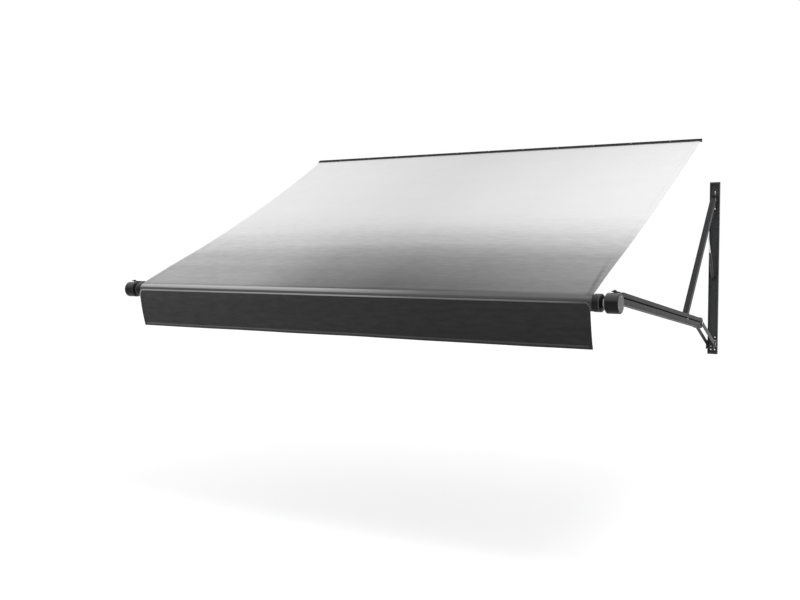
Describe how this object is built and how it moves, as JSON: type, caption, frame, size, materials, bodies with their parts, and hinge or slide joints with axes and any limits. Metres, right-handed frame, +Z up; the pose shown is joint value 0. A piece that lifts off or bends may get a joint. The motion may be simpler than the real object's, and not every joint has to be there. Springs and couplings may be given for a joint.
{
  "type": "roll out awning",
  "caption": "Roll out awning for a caravan wall: cloth on a motor driven roller, held by folding side arms with gas struts.",
  "frame": {"origin": "on the wall face, at the middle of the rail, level with the centre of its keyhole", "axes": "+X along the roller, to the right seen from outside, +Y into the wall, +Z up"},
  "size_m": [3.7588, 2.2528, 1.585],
  "materials": {
    "rail_paint": "satin",
    "rail_stop_plastic": "matte",
    "bead_cord": "matte",
    "canopy_cloth": "coated cloth",
    "rolled_cloth": "coated cloth",
    "tube_metal": "satin",
    "cap_plastic": "satin",
    "valance_cloth": "coated cloth",
    "piping_cord": "matte",
    "shaft_steel": "turned",
    "bearing_plastic": "matte",
    "arm_paint": "satin powder coat",
    "casting_paint": "satin",
    "wall_paint": "satin powder coat",
    "channel_cap_plastic": "matte",
    "fastener_steel": "plated",
    "cylinder_paint": "gloss",
    "rod_chrome": "polished",
    "motor_metal": "satin",
    "cover_plastic": "satin",
    "disc_plastic": "satin"
  },
  "bodies": {
    "wall": {"awning_rail": "rail_paint", "rail_stops": "rail_stop_plastic", "canopy_bead": "bead_cord", "canopy": "canopy_cloth", "channel_caps": "channel_cap_plastic", "bracket_rivets": "fastener_steel", "upper_pivot_pins": "fastener_steel", "lower_pivot_pins": "fastener_steel", "strut_brackets": "wall_paint", "strut_pins": "fastener_steel", "wall_channel_right": "wall_paint", "wall_channel_left": "wall_paint", "upper_wall_bracket_right": "wall_paint", "upper_wall_bracket_left": "wall_paint", "lower_wall_bracket_right": "wall_paint", "lower_wall_bracket_left": "wall_paint"},
    "upper_arm_right": {"upper_arm_right": "arm_paint", "arm_bushes_right": "bearing_plastic", "strut_stud_right": "fastener_steel"},
    "main_arm_right": {"main_arm_right": "arm_paint", "arm_knuckle_right": "casting_paint", "arm_pins_right": "fastener_steel", "arm_clamp_right": "casting_paint", "clamp_bolts_right": "fastener_steel", "cover_screws_right": "fastener_steel", "drive_head": "casting_paint", "gear_motor": "motor_metal", "motor_cover": "cover_plastic", "motor_end_disc": "disc_plastic", "cable_gland": "channel_cap_plastic"},
    "lower_link_right": {"lower_link_right": "arm_paint", "link_rivets_right": "fastener_steel"},
    "gas_cylinder_right": {"gas_cylinder_right": "cylinder_paint"},
    "gas_rod_right": {"gas_rod_right": "rod_chrome"},
    "upper_arm_left": {"upper_arm_left": "arm_paint", "arm_bushes_left": "bearing_plastic", "strut_stud_left": "fastener_steel"},
    "main_arm_left": {"main_arm_left": "arm_paint", "arm_knuckle_left": "casting_paint", "arm_pins_left": "fastener_steel", "arm_clamp_left": "casting_paint", "clamp_bolts_left": "fastener_steel", "cover_screws_left": "fastener_steel", "idler_head": "casting_paint", "idler_spindle": "shaft_steel", "idler_cover": "cover_plastic", "idler_end_disc": "disc_plastic"},
    "lower_link_left": {"lower_link_left": "arm_paint", "link_rivets_left": "fastener_steel"},
    "gas_cylinder_left": {"gas_cylinder_left": "cylinder_paint"},
    "gas_rod_left": {"gas_rod_left": "rod_chrome"},
    "roller": {"roller_tube": "tube_metal", "rolled_fabric": "rolled_cloth", "roller_cap_right": "cap_plastic", "roller_cap_left": "cap_plastic", "drive_shaft": "shaft_steel", "idler_bearing": "bearing_plastic", "valance": "valance_cloth", "valance_bead": "piping_cord"}
  },
  "joints": [
    {"name": "arm_fold", "type": "hinge", "parent": "wall", "child": "upper_arm_right", "pos_m": [1.8385, -0.06, -0.4384], "axis": [1, 0, 0], "range_deg": [0, 40.14], "deforming": ["canopy", "valance"]},
    {"name": "upper_arm_left_turn", "type": "hinge", "parent": "wall", "child": "upper_arm_left", "pos_m": [-1.8385, -0.06, -0.4384], "axis": [1, 0, 0], "range_deg": [0, 40.15]},
    {"name": "main_arm_right_turn", "type": "hinge", "parent": "upper_arm_right", "child": "main_arm_right", "pos_m": [1.8385, -0.78136, -1.2588], "axis": [1, 0, 0], "range_deg": [-121.9, 0]},
    {"name": "main_arm_left_turn", "type": "hinge", "parent": "upper_arm_left", "child": "main_arm_left", "pos_m": [-1.8385, -0.78136, -1.2588], "axis": [1, 0, 0], "range_deg": [-121.9, 0]},
    {"name": "lower_link_right_turn", "type": "hinge", "parent": "wall", "child": "lower_link_right", "pos_m": [1.8385, -0.06, -1.489], "axis": [1, 0, 0], "range_deg": [0, 112.95]},
    {"name": "lower_link_left_turn", "type": "hinge", "parent": "wall", "child": "lower_link_left", "pos_m": [-1.8385, -0.06, -1.489], "axis": [1, 0, 0], "range_deg": [0, 112.95]},
    {"name": "gas_cylinder_right_turn", "type": "hinge", "parent": "wall", "child": "gas_cylinder_right", "pos_m": [1.8385, -0.035, -1.0044], "axis": [1, 0, 0], "range_deg": [-21.23, 0]},
    {"name": "gas_cylinder_left_turn", "type": "hinge", "parent": "wall", "child": "gas_cylinder_left", "pos_m": [-1.8385, -0.035, -1.0044], "axis": [1, 0, 0], "range_deg": [-21.23, 0]},
    {"name": "gas_rod_right_slide", "type": "slide", "parent": "gas_cylinder_right", "child": "gas_rod_right", "axis": [0, -0.449, 0.8935], "range_m": [-0.10585, 0]},
    {"name": "gas_rod_left_slide", "type": "slide", "parent": "gas_cylinder_left", "child": "gas_rod_left", "axis": [0, -0.449, 0.8935], "range_m": [-0.10585, 0]},
    {"name": "roller_spin", "type": "hinge", "parent": "main_arm_right", "child": "roller", "pos_m": [0, -2.19481, -1.09074], "axis": [1, 0, 0], "range_deg": [0, 2961.8]}
  ],
  "couplings": [
    {"joint": "upper_arm_left_turn", "follows": "arm_fold", "ratio": 1},
    {"joint": "main_arm_right_turn", "follows": "arm_fold", "ratio": -3.0368},
    {"joint": "main_arm_left_turn", "follows": "arm_fold", "ratio": -3.0368},
    {"joint": "lower_link_right_turn", "follows": "arm_fold", "ratio": 2.814},
    {"joint": "lower_link_left_turn", "follows": "arm_fold", "ratio": 2.814},
    {"joint": "gas_cylinder_right_turn", "follows": "arm_fold", "ratio": -0.52882},
    {"joint": "gas_cylinder_left_turn", "follows": "arm_fold", "ratio": -0.52882},
    {"joint": "gas_rod_right_slide", "follows": "arm_fold", "m_per_rad": -0.15109},
    {"joint": "gas_rod_left_slide", "follows": "arm_fold", "m_per_rad": -0.15109},
    {"joint": "roller_spin", "follows": "arm_fold", "ratio": 73.793}
  ]
}
